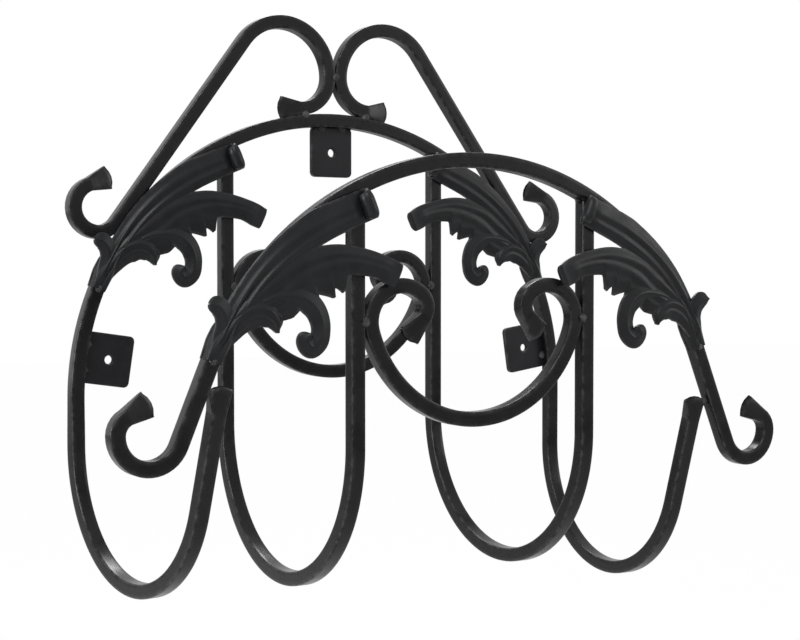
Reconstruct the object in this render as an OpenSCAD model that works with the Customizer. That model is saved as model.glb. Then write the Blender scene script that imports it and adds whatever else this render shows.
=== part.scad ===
// Wall rack for bottles, bent from square iron bar. An arched frame stands on the wall and a
// second one stands in front of it. Four U-shaped hooks join them, and bottles lie across the
// hooks. Scrolls fill the frames, two tall scrolls crown the back one, and four pressed leaves
// cover the joints.
// X runs along the wall, Y points into the wall and Z points up. The origin is on the wall's
// face, midway between the two side screw holes.

/* [Bar] */
// Side of the square bar
bar = 8; // [6:0.5:9]
// Length of the flared end of a bar
tail_len = 14; // [10:1:18]
// Width of the flared end at its edge
tail_w = 14; // [11:0.5:17]
// Thickness of the flared end at its edge
tail_t = 3; // [2:0.5:5]

/* [Frames] */
// Radius of both arches, on the bar's centre line
arch_r = 166; // [138:1:200]
// Distance between the centre planes of the back and front frames
frame_depth = 160; // [133:1:195]
// How far the front arch lies below the back one
front_drop = 34; // [28:1:41]
// How much lower the bent ends hang on the right than on the left
right_end_drop = 17; // [0:1:20]
// Lean of the front arch's legs from the vertical, in degrees
front_leg_lean = 22.5; // [18:0.5:27]
// Straight length of the front arch's left leg
front_leg = 44; // [37:1:53]
// Radius of the outward curl at the foot of each front leg
front_curl_r = 16.5; // [14:0.5:20]
// Radius of the tighter bend that ends this curl
front_eye_r = 10; // [8:0.5:12]

/* [Hooks] */
// Distance from the middle of the rack to each cradle hook
hook_x = 73; // [61:1:88]
// How far a cradle hook's legs run below the back arch's centre before they bend
hook_leg = 17; // [10:1:30]
// The same for the left end hook
end_hook_leg = 26; // [15:1:35]
// Length of an end hook's straight front leg, with its flared tip
end_hook_rise = 68; // [57:1:80]
// Outward lean of an end hook's front leg, in degrees
end_hook_lean = 18; // [10:1:22]

/* [Scrolls] */
// Height of the back C-scroll's lowest point above the back arch's centre
scroll_rise = 11; // [4:1:20]
// How far the front C-scroll lies below the back one
scroll_drop = 17; // [10:1:22]
// Height of a C-scroll's side loops above its lowest point
scroll_loop_rise = 53; // [44:1:64]
// Radius of a C-scroll's side loops
scroll_loop_r = 18.5; // [15.5:0.5:22]
// Radius of the tighter bend that ends a side loop
scroll_eye_r = 9; // [7.5:0.5:11]
// Radius of the ring at the top of a crest scroll
crest_ring_r = 31.5; // [26:0.5:38]
// Radius of the hook that brings a crest scroll down onto the arch
crest_hook_r = 20; // [17:0.5:24]
// Radius of the curl at the foot of a crest scroll
crest_foot_r = 14; // [12:0.5:17]
// Place of that foot on the arch, in degrees above the horizontal
crest_foot_angle = 35.6; // [33:0.1:38]

/* [Leaves] */
// Thickness of the pressed leaf
leaf_t = 2; // [1.5:0.5:3]
// Width of a rib pressed into a leaf
rib_w = 3.6; // [2.5:0.1:4.4]
// Height of a rib above the leaf
rib_h = 1.6; // [1:0.1:2]
// Radius of the rolled ends of a leaf's lobes
roll_r = 3.2; // [2.5:0.1:4]
// Length of the stem that wraps the arch's bar
stem_len = 26; // [22:1:31]

/* [Wall plates] */
// Width of a wall plate
plate_w = 28; // [24:1:34]
// Height of a wall plate
plate_h = 30; // [25:1:36]
// Thickness of a wall plate
plate_t = 3; // [2:0.5:4]
// Radius of a wall plate's corners
plate_corner_r = 3; // [2:0.5:5]
// Gap that the plates keep between the wall and the bars
wall_gap = 0.5; // [0.5:0.1:1.5]
// Diameter of the screw hole
screw_hole_d = 5; // [4:0.1:6]
// Height of the side screw holes above the back arch's centre
side_hole_rise = 22; // [18:1:26]

/* [Welds] */
// Radius of a weld bead
bead_r = 3; // [2.5:0.1:3.5]

/* [Hidden] */
$fn = 96;
iron = "#222224";
left = -1;
right = 1;
half_bar = bar / 2;

// How far a bend's flat faces may lie from the true arc
facet_gap = 0.05;

// Length by which two parts of one bar run into each other
lap = 2;

// Rounded edge of a flared end, from its left corner to its right one
edge_angle = 30;
edge_r = tail_w / 2 / sin(edge_angle);
edge_centre = [tail_len - edge_r, 0];
tail_edge = [for (a = [edge_angle:-edge_angle / 2:-edge_angle]) edge_centre + polar(edge_r, a)];

// The arch's inner and outer faces, and the height at which a cradle hook meets its centre line
arch_inner_r = arch_r - half_bar;
arch_outer_r = arch_r + half_bar;
hook_top = height_on(arch_r, hook_x);

// End hooks: the bend's radius follows from the depth that the hook has to span
end_hook_r = (frame_depth - end_hook_rise * sin(end_hook_lean)) / (1 + cos(end_hook_lean));

// C-scroll: its side loops touch the cradle hooks, and one large arc joins them
scroll_half_w = hook_x - bar;
scroll_loop_x = scroll_half_w - scroll_loop_r;
scroll_r = (pow(scroll_loop_x, 2) + pow(scroll_loop_rise, 2) - pow(scroll_loop_r, 2))
    / (2 * (scroll_loop_rise - scroll_loop_r));
scroll_loop_start = asin((scroll_r - scroll_loop_rise) / (scroll_r - scroll_loop_r));
scroll_loop_end = 130;
scroll_eye_turn = 90;

// Crest scroll: it touches its twin at x = 0, and its hook and foot stand on the arch
crest_z = height_on(arch_outer_r + half_bar + crest_hook_r, half_bar + crest_hook_r);
crest_ring = [half_bar + crest_ring_r, crest_z];
crest_foot = polar(arch_outer_r + half_bar + crest_foot_r, crest_foot_angle);
crest_run = crest_foot - crest_ring;
crest_bends = crest_ring_r + crest_foot_r;
crest_slope = asin(crest_bends / norm(crest_run)) - atan2(crest_run.y, crest_run.x);
crest_straight = sqrt(pow(norm(crest_run), 2) - pow(crest_bends, 2));
crest_foot_heading = 160;

// Wall plates: their edges meet the arch's inner face at the corners
side_hole_r = height_on(arch_inner_r, plate_h / 2) - plate_w / 2;
side_plate_angle = asin(side_hole_rise / side_hole_r);
plate_back_z = -half_bar - wall_gap;
top_hole_rise = height_on(arch_inner_r, plate_w / 2) - plate_h / 2;

// Angles at which a leaf starts and ends on its arch
leaf_root = front_leg_lean;
leaf_tip = acos(hook_x / arch_r);
stem_angle = stem_len / arch_r * 180 / PI;
leaf_joint = [hook_x, hook_top];

function height_on(r, x) = sqrt(r * r - x * x);
function polar(r, a) = r * [cos(a), sin(a)];
function blend(a, b, t) = a + (b - a) * t;
function end_drop(side) = side == right ? right_end_drop : 0;

// Height above the back arch's centre of the top of an end hook's flared tip
function end_tip_z(side) = end_hook_rise * cos(end_hook_lean)
    - end_hook_leg - end_drop(side) - end_hook_r * sin(end_hook_lean);

// Distance from the middle to the inner face of a front leg, at height z
function front_leg_inner_x(z) =
    let (top = polar(arch_r, front_leg_lean) - [0, front_drop])
    top.x + (top.y - z) * tan(front_leg_lean) - half_bar / cos(front_leg_lean);

// Distance from the middle to an end hook's tip, whose edge meets the front leg
function end_tip_x(side) = front_leg_inner_x(end_tip_z(side)) - tail_w / 2;

// Outline of a band along an arc. Radius and width change evenly from one end to the other.
function arc_band(r_from, r_to, w_from, w_to, from, to) =
    let (
        steps = ceil(abs(to - from) / 6),
        edge = function (sign, i) let (t = i / steps)
            polar(blend(r_from, r_to, t) + sign * blend(w_from, w_to, t) / 2, blend(from, to, t))
    )
    concat([for (i = [0:steps]) edge(1, i)], [for (i = [steps:-1:0]) edge(-1, i)]);

// A bar is bent from its middle towards both ends, each by its own list of steps. A step is
// ["straight", length], ["left" or "right", radius, angle] or ["tail"] for a flared end.
// A place on the bar's centre line is [x, y, heading].
function after(at, step, share = 1) =
    step[0] == "tail" ? at
    : step[0] == "straight" ? at + share * step[1] * [cos(at[2]), sin(at[2]), 0]
    : let (
        side = step[0] == "left" ? 1 : -1,
        turn = side * share * step[2],
        run = [sin(at[2] + turn) - sin(at[2]), cos(at[2]) - cos(at[2] + turn), 0]
    )
    at + side * step[1] * run + [0, 0, turn];

function end_of(at, steps, i = 0) =
    i == len(steps) ? at : end_of(after(at, steps[i]), steps, i + 1);

// Number of flat faces that follow a step without leaving a true arc by more than facet_gap
function faces_in(step) =
    step[0] == "straight" ? 1 : ceil(step[2] / (2 * acos(1 - facet_gap / step[1])));

// Places along a bar, where its flat faces meet
function places(at, steps, i = 0) =
    i == len(steps) || is_tail(steps[i]) ? [at]
    : let (faces = faces_in(steps[i]))
    concat(
        [for (k = [0:faces - 1]) after(at, steps[i], k / faces)],
        places(after(at, steps[i]), steps, i + 1)
    );

function is_tail(step) = step[0] == "tail";
function is_flared(steps) = len(steps) > 0 && is_tail(steps[len(steps) - 1]);
function beside(at, offset) = [at.x, at.y] + polar(offset, at[2] + 90);
function beyond(at, point) = beside(at, point.y) + polar(point.x, at[2]);

// Outline of half a bar: out along its left side, round its end and back along its right side
function half_outline(at, steps) =
    let (line = places(at, steps), last = len(line) - 1)
    concat(
        [for (place = line) beside(place, half_bar)],
        is_flared(steps) ? [for (point = tail_edge) beyond(line[last], point)] : [],
        [for (i = [last:-1:1]) beside(line[i], -half_bar)]
    );

function mirrored(steps) = [
    for (step = steps)
        step[0] == "left" ? ["right", step[1], step[2]]
        : step[0] == "right" ? ["left", step[1], step[2]]
        : step
];

// Stands a drawing up against the wall: drawn x and y become X and Z around the back arch's
// centre, and drawn z is the distance from the middle of the back frame towards the room.
module on_wall() {
    translate([0, 0, -side_hole_rise]) rotate([90, 0, 0])
        translate([0, 0, wall_gap + half_bar]) children();
}

// The same for the front frame, whose arch is lower
module on_front() {
    on_wall() translate([0, -front_drop, frame_depth]) children();
}

module on_side(side) {
    mirror([side == left ? 1 : 0, 0, 0]) children();
}

// Wedges that thin both faces of a flared end, which starts at a place on the bar
module tail_taper(at) {
    translate([at.x, at.y, 0]) rotate([0, 0, at[2]]) for (face = [0, 1]) mirror([0, 0, face])
        rotate([90, 0, 0]) linear_extrude(tail_w + 1, center = true) polygon([
            [0, half_bar], [tail_len, tail_t / 2], [tail_len + 1, tail_t / 2],
            [tail_len + 1, bar], [0, bar]
        ]);
}

// Bar bent in one plane, from its middle outwards
module flat_bar(middle, ahead, behind) {
    other_way = middle + [0, 0, 180];
    difference() {
        linear_extrude(bar, center = true)
            polygon(concat(half_outline(middle, ahead), half_outline(other_way, behind)));
        if (is_flared(ahead)) tail_taper(end_of(middle, ahead));
        if (is_flared(behind)) tail_taper(end_of(other_way, behind));
    }
}

// U-shaped end of the back arch's bar, from the foot of the arch's leg. It is turned inwards so
// that its flared tip, which lies across the hook, meets the front arch.
module end_hook(side) {
    toe_in = atan((arch_r - end_tip_x(side)) / frame_depth);
    middle = [end_hook_r, -end_hook_r, 0];
    front = [["left", end_hook_r, 90 - end_hook_lean], ["straight", end_hook_rise - tail_len]];
    tip = end_of(middle, front);
    rotate([0, -90 - toe_in, 0]) {
        flat_bar(middle, front, [["right", end_hook_r, 90], ["straight", lap]]);
        translate([tip.x, tip.y, 0]) rotate([90, 0, tip[2]])
            flat_bar([-lap, 0, 0], [["straight", lap], ["tail"]], []);
    }
}

// One bar: an end hook, the back arch and the other end hook
module back_arch_bar() {
    leg = function (side) end_hook_leg + end_drop(side);
    half = function (side) [["right", arch_r, 90], ["straight", leg(side)]];
    color(iron) on_wall() {
        flat_bar([0, arch_r, 0], half(right), mirrored(half(left)));
        for (side = [left, right]) on_side(side) translate([arch_r, -leg(side), 0]) end_hook(side);
    }
}

// One bar: the front arch, its leaning legs and the curls at their feet
module front_arch_bar() {
    eye_turn = 62;
    half = function (side) [
        ["right", arch_r, 90 - front_leg_lean],
        ["straight", front_leg + end_drop(side) / cos(front_leg_lean)],
        ["left", front_curl_r, 180 - front_leg_lean],
        ["left", front_eye_r, eye_turn],
        ["tail"]
    ];
    color(iron) on_front() flat_bar([0, arch_r, 0], half(right), mirrored(half(left)));
}

// Ring that trims a hook's top to the underside of an arch
module arch_trim() {
    rotate_extrude() translate([arch_inner_r, -bar]) square([bar, 2 * bar]);
}

module cradle_hook(side) {
    r = frame_depth / 2;
    color(iron) difference() {
        on_wall() translate([side * hook_x, -hook_leg, 0]) rotate([0, -90, 0]) flat_bar(
            [r, -r, 0],
            [["left", r, 90], ["straight", hook_top + hook_leg - front_drop]],
            [["right", r, 90], ["straight", hook_top + hook_leg]]
        );
        on_wall() arch_trim();
        on_front() arch_trim();
    }
}

module left_cradle_hook() { cradle_hook(left); }
module right_cradle_hook() { cradle_hook(right); }

module c_scroll() {
    half = [
        ["left", scroll_r, 90 - scroll_loop_start],
        ["left", scroll_loop_r, scroll_loop_start + scroll_loop_end],
        ["left", scroll_eye_r, scroll_eye_turn],
        ["tail"]
    ];
    flat_bar([0, 0, 0], half, mirrored(half));
}

module back_c_scroll() {
    color(iron) on_wall() translate([0, scroll_rise, 0]) c_scroll();
}

module front_c_scroll() {
    color(iron) on_wall() translate([0, scroll_rise - scroll_drop, frame_depth]) c_scroll();
}

module crest_scroll(side) {
    foot_turn = crest_slope + crest_foot_heading;
    color(iron) on_wall() on_side(side) flat_bar(
        [half_bar, crest_z, 90],
        [
            ["right", crest_ring_r, 90 + crest_slope],
            ["straight", crest_straight],
            ["left", crest_foot_r, foot_turn],
            ["tail"]
        ],
        [["left", crest_hook_r, 90], ["tail"]]
    );
}

module left_crest_scroll() { crest_scroll(left); }
module right_crest_scroll() { crest_scroll(right); }

// Flat shape of a right-hand leaf around its arch's centre. Its spine follows the arch, widens
// and drifts inwards.
spine_tip_w = 18;
spine_drift = 7;
module leaf_outline() {
    polygon(arc_band(arch_r, arch_r - spine_drift, bar + leaf_t, spine_tip_w,
        leaf_root, leaf_tip));
    translate(leaf_joint) {
        lobe_across();
        lobe_down();
    }
    rotate(leaf_root) translate([arch_r, 0]) {
        lobe_outer();
        lobe_inner();
    }
}

// Second lobe: it reaches across the cradle hook and has three teeth below
across_centre = [7, -89];
across_r = 52;
across_end = 125;
across_tip_w = 13;
module lobe_across() {
    translate(across_centre) {
        polygon(arc_band(across_r, across_r, 27, across_tip_w, 43, across_end));
        for (a = [52, 68, 84]) rotate(a) translate([across_r - 9, 0]) rotate(-150) tooth(4.5);
    }
}

module tooth(r) {
    circle(r);
    square(r);
}

// Third lobe: it curls down to a round knob
down_centre = [37, -69];
down_r = 15;
down_end = 205;
knob_r = 8.5;
module lobe_down() {
    translate(down_centre) {
        polygon(arc_band(down_r, down_r, 16, 11, 60, down_end));
        translate(polar(down_r - 1, down_end)) circle(knob_r);
    }
}

// Small lobe that curls away from the arch, on its outer side
outer_centre = [14, 17];
module lobe_outer() {
    translate(outer_centre) {
        polygon(arc_band(9, 9, 6.5, 8, 67.5, 162.5));
        polygon(concat([polar(12, 162.5), polar(12, 67.5)], [[-15, 24], [-15, 2]]));
    }
}

// Short leaflet on the inner side, with a straight lower edge
inner_centre = [-13, 25];
module lobe_inner() {
    translate(inner_centre) rotate(-leaf_root)
        polygon(concat([for (a = [60:12:180]) polar(13, a)], [[4, -2], [16, -12], [22, -10]]));
}

// Rolled end of a lobe, lying across it on the side towards the room
module rolled_end(length) {
    clear_of_bar = 0.3;
    translate([0, 0, half_bar + roll_r + clear_of_bar]) rotate([0, 90, 0])
        cylinder(r = roll_r, h = length, center = true);
}

// Ridge along an arc, with sloping sides and a flat top, rooted in the sheet
module rib(r, from, to) {
    rotate([0, 0, from]) rotate_extrude(angle = to - from) translate([r, 0])
        polygon([[-rib_w / 2, -rib_h / 2], [rib_w / 2, -rib_h / 2], [rib_w / 4, rib_h], [-rib_w / 4, rib_h]]);
}

// Sides of the stem, which wrap the arch's bar
module stem_lips() {
    back = -half_bar + bar / 5;
    rotate([0, 0, leaf_root + 0.5]) for (r = [arch_inner_r - leaf_t, arch_outer_r])
        rotate_extrude(angle = stem_angle)
            translate([r, back]) square([leaf_t, half_bar + leaf_t / 2 - back]);
}

// Right-hand leaf around its arch's centre, lying on the front of the bars
module leaf() {
    rib_z = half_bar + leaf_t;
    translate([0, 0, half_bar]) linear_extrude(leaf_t) leaf_outline();
    stem_lips();
    translate([0, 0, rib_z]) {
        rib(arch_r + 1, leaf_root + 1, leaf_tip - 4);
        rib(arch_r - 4, leaf_root + 1, leaf_tip - 4);
        translate(leaf_joint + across_centre) rib(across_r, 48, across_end - 4);
        translate(leaf_joint + down_centre) rib(down_r, 90, down_end);
    }
    rotate([0, 0, leaf_tip]) translate([arch_r - spine_drift, 0, 0]) rolled_end(spine_tip_w);
    translate(leaf_joint + across_centre) rotate([0, 0, across_end])
        translate([across_r, 0, 0]) rolled_end(across_tip_w);
}

module back_left_leaf() { color(iron) on_wall() on_side(left) leaf(); }
module back_right_leaf() { color(iron) on_wall() leaf(); }
module front_left_leaf() { color(iron) on_front() on_side(left) leaf(); }
module front_right_leaf() { color(iron) on_front() leaf(); }

// Plate with rounded corners and a screw hole, centred on the hole, with its back on the wall
module wall_plate() {
    translate([0, 0, plate_back_z]) difference() {
        linear_extrude(plate_t) {
            square([plate_w - 2 * plate_corner_r, plate_h], center = true);
            square([plate_w, plate_h - 2 * plate_corner_r], center = true);
            for (x = [-1, 1], y = [-1, 1])
                translate([x * (plate_w / 2 - plate_corner_r), y * (plate_h / 2 - plate_corner_r)])
                    circle(plate_corner_r);
        }
        translate([0, 0, -1]) cylinder(d = screw_hole_d, h = plate_t + 2);
    }
}

module side_wall_plate(side) {
    color(iron) on_wall() on_side(side) rotate([0, 0, side_plate_angle])
        translate([side_hole_r, 0, 0]) wall_plate();
}

module top_wall_plate() { color(iron) on_wall() translate([0, top_hole_rise, 0]) wall_plate(); }
module left_wall_plate() { side_wall_plate(left); }
module right_wall_plate() { side_wall_plate(right); }

module bead(place, z = 0) {
    translate([place.x, place.y, z]) sphere(bead_r, $fn = 32);
}

// Where the crest scrolls meet each other, and where they stand on the arch
module crest_weld_beads() {
    hook_contact = atan2(crest_z, half_bar + crest_hook_r);
    foot_groove_angle = 3.5;
    color(iron) on_wall() {
        bead([0, crest_z], half_bar);
        for (side = [left, right]) on_side(side) {
            bead(polar(arch_outer_r, hook_contact), half_bar);
            bead(polar(arch_outer_r + bead_r / 2, crest_foot_angle + foot_groove_angle));
        }
    }
}

// Where the cradle hooks meet the underside of each arch
module hook_top_weld_beads() {
    inner_x = hook_x - half_bar;
    color(iron) for (side = [left, right]) {
        on_wall() on_side(side) bead([inner_x, height_on(arch_inner_r, inner_x)]);
        on_front() on_side(side) bead([inner_x, height_on(arch_inner_r, inner_x)]);
    }
}

// Where the end hooks' tips meet the front arch's legs
module hook_tip_weld_beads() {
    color(iron) on_wall() for (side = [left, right])
        on_side(side) bead([end_tip_x(side) + tail_w / 2, end_tip_z(side) - bead_r], frame_depth);
}

// Where the side loops of the C-scrolls touch the cradle hooks
module scroll_weld_beads() {
    color(iron) on_wall() for (side = [left, right]) on_side(side) {
        bead([hook_x - half_bar, scroll_rise + scroll_loop_rise], half_bar);
        bead([hook_x - half_bar, scroll_rise - scroll_drop + scroll_loop_rise],
            frame_depth + half_bar);
    }
}

// Two beads along the edge where each wall plate meets the back arch
module plate_weld_beads() {
    seam_z = plate_back_z + plate_t;
    color(iron) on_wall() {
        for (x = [-plate_w / 4, plate_w / 4]) bead([x, top_hole_rise + plate_h / 2], seam_z);
        for (side = [left, right]) on_side(side) rotate([0, 0, side_plate_angle])
            for (y = [-plate_h / 4, plate_h / 4]) bead([side_hole_r + plate_w / 2, y], seam_z);
    }
}

// At the end of each leaf's stem, on the front of the bar
module leaf_weld_beads() {
    color(iron) for (side = [left, right]) {
        on_wall() on_side(side) bead(polar(arch_r, leaf_root), half_bar);
        on_front() on_side(side) bead(polar(arch_r, leaf_root), half_bar);
    }
}

back_arch_bar();
front_arch_bar();
left_cradle_hook();
right_cradle_hook();
back_c_scroll();
front_c_scroll();
left_crest_scroll();
right_crest_scroll();
back_left_leaf();
back_right_leaf();
front_left_leaf();
front_right_leaf();
top_wall_plate();
left_wall_plate();
right_wall_plate();
crest_weld_beads();
hook_top_weld_beads();
hook_tip_weld_beads();
scroll_weld_beads();
plate_weld_beads();
leaf_weld_beads();
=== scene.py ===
"""Looks of a wall rack for bottles, bent from square iron bar and dressed with pressed leaves.

Every length is in metres. Drawings of the flat work are made in the plane of a frame: the first
coordinate runs along the wall, the second up from the centre of that frame's arch, and the third
out from the wall towards the room.
"""
import logging
import math
from dataclasses import dataclass, field
from enum import Enum
from typing import Callable, Sequence

import bpy
import numpy as np
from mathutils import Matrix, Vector


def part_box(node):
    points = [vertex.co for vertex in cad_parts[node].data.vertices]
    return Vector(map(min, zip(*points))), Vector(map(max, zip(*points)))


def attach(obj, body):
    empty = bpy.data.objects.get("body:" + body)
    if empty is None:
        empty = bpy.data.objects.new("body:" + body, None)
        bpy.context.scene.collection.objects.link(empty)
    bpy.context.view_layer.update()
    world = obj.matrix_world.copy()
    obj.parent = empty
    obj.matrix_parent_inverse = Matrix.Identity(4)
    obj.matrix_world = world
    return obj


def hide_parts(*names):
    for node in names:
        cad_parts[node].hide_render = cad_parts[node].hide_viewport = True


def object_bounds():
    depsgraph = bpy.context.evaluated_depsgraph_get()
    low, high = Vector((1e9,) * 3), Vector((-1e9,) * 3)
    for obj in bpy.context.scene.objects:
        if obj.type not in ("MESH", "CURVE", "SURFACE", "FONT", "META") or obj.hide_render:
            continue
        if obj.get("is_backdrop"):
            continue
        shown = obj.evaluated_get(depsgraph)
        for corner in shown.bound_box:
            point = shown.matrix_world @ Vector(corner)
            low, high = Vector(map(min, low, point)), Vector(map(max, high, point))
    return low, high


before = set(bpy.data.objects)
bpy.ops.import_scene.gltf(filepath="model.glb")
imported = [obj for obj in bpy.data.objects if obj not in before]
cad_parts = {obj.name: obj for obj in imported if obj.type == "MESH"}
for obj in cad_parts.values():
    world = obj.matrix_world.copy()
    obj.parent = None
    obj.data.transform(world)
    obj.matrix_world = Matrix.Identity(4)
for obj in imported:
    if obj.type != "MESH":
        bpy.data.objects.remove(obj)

LOG = logging.getLogger("wall_rack")
ROOT = "root"
MM = 0.001
SHARP_ANGLE = math.radians(48)


class Slot(Enum):
    """Material slots of the rack's record."""

    BAR = "iron_bar"
    LEAF = "pressed_leaf"
    PLATE = "wall_plate"
    WELD = "weld"


class Side(Enum):
    """Side of the rack, as the sign of its first coordinate."""

    LEFT = -1
    RIGHT = 1


# ---------------------------------------------------------------- shells


@dataclass
class Shell:
    """A closed surface made of rings of points, with an edge mask for each point.

    Args:
        rings: Points as an array of shape (rings, points in a ring, 3).
        edge: Share of painted edge highlight at each point, from 0 to 1, of shape (rings, points).
        looped: True where the last ring joins the first one, as on a plate with a hole.
    """

    rings: np.ndarray
    edge: np.ndarray
    looped: bool = False

    def quads(self) -> np.ndarray:
        """Four-sided faces between neighbouring rings, turned so that they face outwards.

        Returns:
            Point numbers, one row of four for each face.
        """
        count, around = self.rings.shape[:2]
        number = np.arange(count * around).reshape(count, around)
        here = number if self.looped else number[:-1]
        there = np.roll(number, -1, axis=0) if self.looped else number[1:]
        faces = np.stack(
            [here, np.roll(here, -1, axis=1), np.roll(there, -1, axis=1), there], axis=-1
        ).reshape(-1, 4)
        return faces if self._volume(faces) > 0 else faces[:, ::-1]

    def caps(self, faces: np.ndarray) -> list[list[int]]:
        """Faces that close the first and the last ring.

        Args:
            faces: The faces that quads() gave, whose direction the caps follow.

        Returns:
            No faces for a looped shell, or else one list of point numbers for each end.
        """
        if self.looped:
            return []
        count, around = self.rings.shape[:2]
        first = np.arange(around)
        last = first + (count - 1) * around
        forward = faces[0][0] < faces[0][1] or faces[0][1] == 0 and faces[0][0] == around - 1
        ends = [first[::-1], last] if forward else [first, last[::-1]]
        return [end.tolist() for end in ends]

    def _volume(self, faces: np.ndarray) -> float:
        """Signed volume between the faces and the shell's middle: positive if they face outwards.

        Each face is two triangles, and a triangle adds the triple product of its corners, which
        is six times the volume: the factor is left out, as only the sign is used.

        Args:
            faces: Rows of four point numbers.

        Returns:
            Six times the volume.
        """
        points = self.rings.reshape(-1, 3) - self.rings.reshape(-1, 3).mean(axis=0)
        a, b, c, d = (points[faces[:, k]] for k in range(4))
        return float(np.einsum("ij,ij->", a, np.cross(b, c) + np.cross(c, d)))


def build_piece(
    name: str, shells: Sequence[Shell], finish: "PaintFinish", nodes: Sequence[str]
) -> bpy.types.Object:
    """Makes one object of closed shells, dresses it and lets it stand for its CAD nodes.

    Args:
        name: The object's name.
        shells: Closed surfaces that make up the piece.
        finish: The paint on it.
        nodes: CAD nodes that the piece stands for.

    Returns:
        The new object.
    """
    points, faces, edges, offset = [], [], [], 0
    for shell in shells:
        quads = shell.quads()
        faces += (quads + offset).tolist()
        faces += [[k + offset for k in cap] for cap in shell.caps(quads)]
        points.append(shell.rings.reshape(-1, 3))
        edges.append(shell.edge.reshape(-1))
        offset += len(points[-1])
    mesh = bpy.data.meshes.new(name)
    mesh.from_pydata(np.concatenate(points).tolist(), [], faces)
    # The edge mask places the painted highlight: lighter paint along edges that stands in for
    # light.
    mask = mesh.attributes.new(EDGE_MASK, "FLOAT", "POINT")
    mask.data.foreach_set("value", np.concatenate(edges).astype(np.float32))
    mesh.shade_smooth()
    mesh.set_sharp_from_angle(angle=SHARP_ANGLE)
    mesh.validate()
    piece = bpy.data.objects.new(name, mesh)
    bpy.context.scene.collection.objects.link(piece)
    mesh.materials.append(finish.material())
    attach(piece, ROOT)
    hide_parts(*nodes)
    LOG.info("%s: %d points, %d faces, stands for %s", name, offset, len(faces), ", ".join(nodes))
    return piece


def ripple(along: np.ndarray, around: np.ndarray, seed: int) -> np.ndarray:
    """Smooth unevenness in two directions, from 0 to 1.

    It is the mean of four products of sines whose wavelengths and phases come from the seed.

    Args:
        along: First parameter, in radians.
        around: Second parameter, in radians.
        seed: Number that picks the waves.

    Returns:
        An array of the parameters' common shape.
    """
    random = np.random.default_rng(seed)
    waves = random.integers(1, 5, (4, 2))
    phases = random.uniform(0, 2 * np.pi, (4, 2))
    total = sum(
        np.sin(w[0] * along + p[0]) * np.sin(w[1] * around + p[1]) for w, p in zip(waves, phases)
    )
    return 0.5 + total / 8


def smooth_step(x: np.ndarray) -> np.ndarray:
    """A value that rises from 0 to 1 while x does, level at both ends: x^2 times (3 - 2x)."""
    x = np.clip(x, 0, 1)
    return x * x * (3 - 2 * x)


def through(rows: np.ndarray, count: int) -> np.ndarray:
    """A smooth curve through control rows, a Catmull-Rom spline.

    Between rows b and c, with a before and d after them, the value at share t is half of
    2b + (c - a)t + (2a - 5b + 4c - d)t^2 + (3b - a - 3c + d)t^3.

    Args:
        rows: Control rows, one value or coordinate in each column.
        count: Number of rows wanted.

    Returns:
        Rows evenly spread over the control rows.
    """
    padded = np.vstack([2 * rows[0] - rows[1], rows, 2 * rows[-1] - rows[-2]])
    place = np.linspace(0, len(rows) - 1, count)
    first = np.minimum(place.astype(int), len(rows) - 2)
    t = (place - first)[:, None]
    a, b, c, d = (padded[first + k] for k in range(4))
    return 0.5 * (2 * b + (c - a) * t + (2 * a - 5 * b + 4 * c - d) * t**2
                  + (3 * b - a - 3 * c + d) * t**3)


# ---------------------------------------------------------------- bent bars


@dataclass
class Route:
    """The centre line of a bar with the directions of its section at each place.

    Args:
        place: Points on the centre line.
        ahead: Unit vectors along the bar.
        width: Unit vectors across the bar, in which a flared end widens.
        depth: Unit vectors across the bar, in which a flared end thins. Width cross depth is
            ahead.
        flare: Share of a flared end that lies behind each place, 0 on the plain bar.
        way: 1 where a flared end points ahead and -1 where it points back.
    """

    place: np.ndarray
    ahead: np.ndarray
    width: np.ndarray
    depth: np.ndarray
    flare: np.ndarray
    way: np.ndarray

    def reversed(self) -> "Route":
        """The same bar run through from its other end."""
        return Route(self.place[::-1], -self.ahead[::-1], -self.width[::-1], self.depth[::-1],
                     self.flare[::-1], -self.way[::-1])

    def mirrored(self) -> "Route":
        """The bar's mirror image across the middle of the rack."""
        flip = np.array([-1.0, 1.0, 1.0])
        return Route(self.place * flip, self.ahead * flip, -self.width * flip, self.depth * flip,
                     self.flare, self.way)

    def then(self, other: "Route") -> "Route":
        """This bar followed by another one that starts where it ends."""
        pairs = ((getattr(self, key), getattr(other, key)) for key in self.__dataclass_fields__)
        return Route(*(np.concatenate([a, b[1:]]) for a, b in pairs))


@dataclass
class Place:
    """A point and a heading in the plane of a bend.

    Args:
        x: First coordinate in the plane.
        y: Second coordinate in the plane.
        heading: Direction of the bar there, in radians from the first axis.
    """

    x: float
    y: float
    heading: float


@dataclass(frozen=True)
class Step:
    """One stretch of a bar.

    Args:
        size: Length of a straight stretch, or radius of a bend.
        turn: Angle of a bend in degrees, positive to the left, and 0 for a straight stretch.
    """

    size: float
    turn: float = 0.0

    def mirrored(self) -> "Step":
        """The same stretch bent to the other side."""
        return Step(self.size, -self.turn)


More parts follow.
